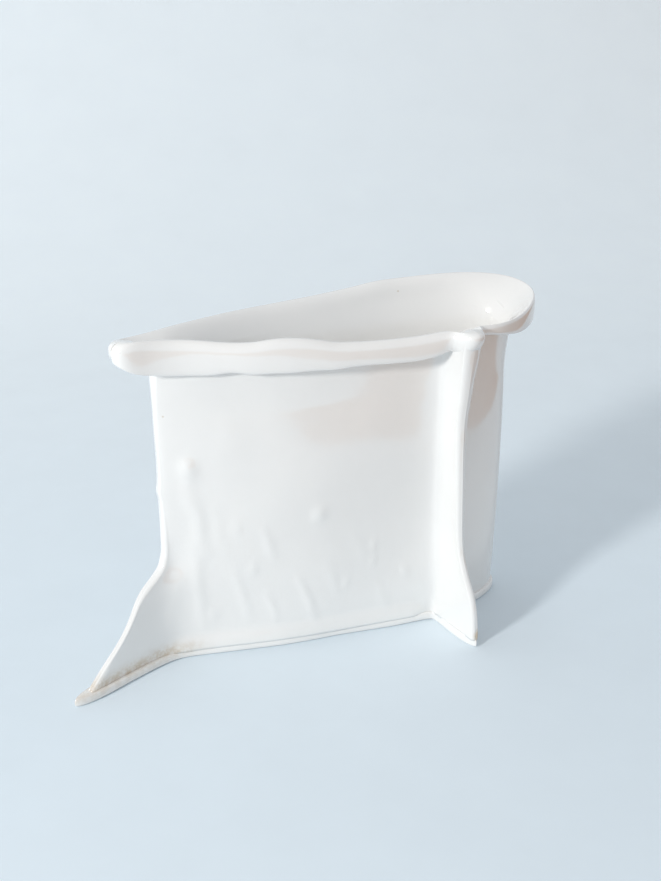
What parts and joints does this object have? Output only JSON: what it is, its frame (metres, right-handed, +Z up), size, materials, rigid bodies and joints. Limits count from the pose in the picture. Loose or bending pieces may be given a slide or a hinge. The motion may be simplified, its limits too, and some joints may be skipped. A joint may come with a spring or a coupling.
{
  "type": "pillow vase",
  "caption": "Hand-built glazed porcelain pillow vase: slab walls pinched into side fins that flare into feet, a folded strip round a teardrop mouth, on a flat floor slab.",
  "frame": {"origin": "on the flat resting face, under the middle of the body", "axes": "+X along the front wall towards the rib at its right end, -Y out of the front wall, +Z up"},
  "size_m": [0.1858, 0.0867, 0.1314],
  "materials": {
    "white_glaze": "glossy white glaze on porcelain, warmer where it pools in creases"
  },
  "bodies": {
    "root": {"base_slab": "white_glaze", "front_slab": "white_glaze", "back_slab": "white_glaze", "front_rim_strip": "white_glaze", "back_rim_strip": "white_glaze", "left_seam_coil": "white_glaze", "right_seam_coil": "white_glaze", "front_floor_coil": "white_glaze", "back_floor_coil": "white_glaze"}
  },
  "joints": []
}
